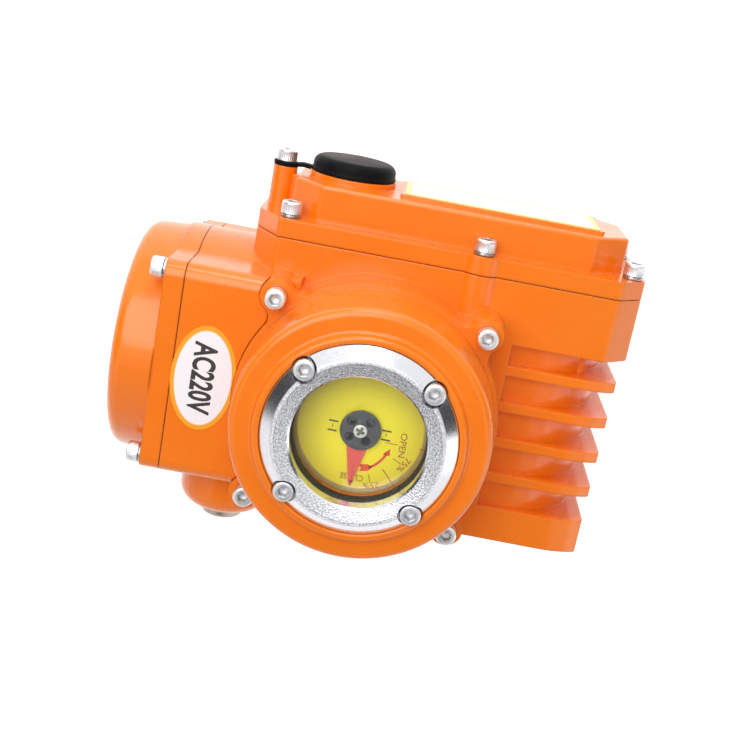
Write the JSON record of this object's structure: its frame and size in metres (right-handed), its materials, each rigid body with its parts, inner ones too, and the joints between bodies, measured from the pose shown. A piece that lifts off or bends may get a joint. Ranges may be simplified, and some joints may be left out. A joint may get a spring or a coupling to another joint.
{
  "type": "quarter-turn electric valve actuator",
  "caption": "Electric valve actuator with a round dial cap and bezel, finned motor housing, domed terminal cover, gear cover with rubber hand-drive cap, and worm and spur gearing.",
  "frame": {"origin": "centre of the valve mounting face, on the output shaft axis", "axes": "+Z along the output shaft from the valve face to the dial, +X towards the finned motor housing, +Y towards the gear cover; the domed terminal cover is at -X"},
  "size_m": [0.2456, 0.1907, 0.169],
  "materials": {
    "orange_enamel": "gloss",
    "chrome_plate": "polished over a fine cast grain",
    "clear_glass": "polished",
    "gasket_rubber": "matte",
    "stainless_steel": "satin",
    "dial_yellow": "printed satin",
    "red_plastic": "translucent gloss",
    "dark_grey_plastic": "satin",
    "dark_steel": "satin",
    "bright_steel": "ground",
    "bronze": "machined",
    "white_plastic": "satin",
    "black_plastic": "satin",
    "zinc_steel": "zinc plated",
    "cast_aluminium": "machined casting",
    "copper_winding": "varnished copper wire",
    "black_rubber": "satin moulded rubber",
    "plug_metal": "nickel plated",
    "label_white": "printed film"
  },
  "bodies": {
    "actuator_body": {"bearing_plate": "cast_aluminium", "bezel_screws": "stainless_steel", "cap_strap": "black_rubber", "capacitor_clip": "zinc_steel", "data_plate": "label_white", "dial_cap": "orange_enamel", "dial_cap_gasket": "gasket_rubber", "dial_cap_screws": "stainless_steel", "dial_cap_spring_washers": "stainless_steel", "dial_plate": "dial_yellow", "dial_posts": "bright_steel", "end_cover_gasket": "gasket_rubber", "end_cover_screws": "stainless_steel", "end_cover_spring_washers": "stainless_steel", "entry_plug": "plug_metal", "gear_cover": "orange_enamel", "gear_cover_gasket": "gasket_rubber", "gear_cover_screws": "stainless_steel", "gear_cover_spring_washers": "stainless_steel", "gear_plate": "zinc_steel", "gear_plate_screws": "stainless_steel", "hand_drive_seal": "gasket_rubber", "idler_pins": "bright_steel", "main_housing": "orange_enamel", "micro_switches": "black_plastic", "motor_bearings": "bright_steel", "output_bushes": "bronze", "output_seal": "gasket_rubber", "run_capacitor": "white_plastic", "stator_core": "dark_steel", "stator_windings": "copper_winding", "strap_screw": "stainless_steel", "switch_bracket": "zinc_steel", "terminal_block": "white_plastic", "terminal_end_cover": "orange_enamel", "voltage_label": "label_white", "window_bezel": "chrome_plate", "window_gaskets": "gasket_rubber", "window_glass": "clear_glass", "worm_bearings": "bright_steel"},
    "output_drive": {"output_shaft": "dark_steel", "worm_wheel": "bronze", "switch_cams": "white_plastic", "pointer": "red_plastic", "pointer_hub": "dark_grey_plastic", "hub_screw": "stainless_steel"},
    "worm_drive": {"worm_shaft": "bright_steel", "worm_gear": "bright_steel"},
    "second_idler_gear": {"second_idler": "bright_steel"},
    "first_idler_gear": {"first_idler": "bright_steel"},
    "motor_rotor": {"rotor_shaft": "bright_steel", "rotor_core": "dark_steel"},
    "hand_drive_cap": {"rubber_cap": "black_rubber"}
  },
  "joints": [
    {"name": "output_turn", "type": "hinge", "parent": "actuator_body", "child": "output_drive", "pos_m": [0, 0, 0.0655], "axis": [0, 0, 1], "range_deg": [0, 90]},
    {"name": "worm_spin", "type": "hinge", "parent": "actuator_body", "child": "worm_drive", "pos_m": [-0.027, 0.06, 0.0655], "axis": [0, 1, 0], "range_deg": [0, 2881]},
    {"name": "second_idler_spin", "type": "hinge", "parent": "actuator_body", "child": "second_idler_gear", "pos_m": [0.009, 0.06, 0.0655], "axis": [0, 1, 0], "range_deg": [-8641, 0]},
    {"name": "first_idler_spin", "type": "hinge", "parent": "actuator_body", "child": "first_idler_gear", "pos_m": [0.043, 0.06, 0.0655], "axis": [0, 1, 0], "range_deg": [0, 28081]},
    {"name": "rotor_spin", "type": "hinge", "parent": "actuator_body", "child": "motor_rotor", "pos_m": [0.077, 0.06, 0.0655], "axis": [0, 1, 0], "range_deg": [-108309.57, 0]},
    {"name": "cap_pull", "type": "slide", "parent": "actuator_body", "child": "hand_drive_cap", "axis": [0, 1, 0], "range_m": [0, 0.02]}
  ],
  "couplings": [
    {"joint": "worm_spin", "follows": "output_turn", "ratio": 32},
    {"joint": "second_idler_spin", "follows": "output_turn", "ratio": -96},
    {"joint": "first_idler_spin", "follows": "output_turn", "ratio": 312},
    {"joint": "rotor_spin", "follows": "output_turn", "ratio": -1203.4}
  ]
}
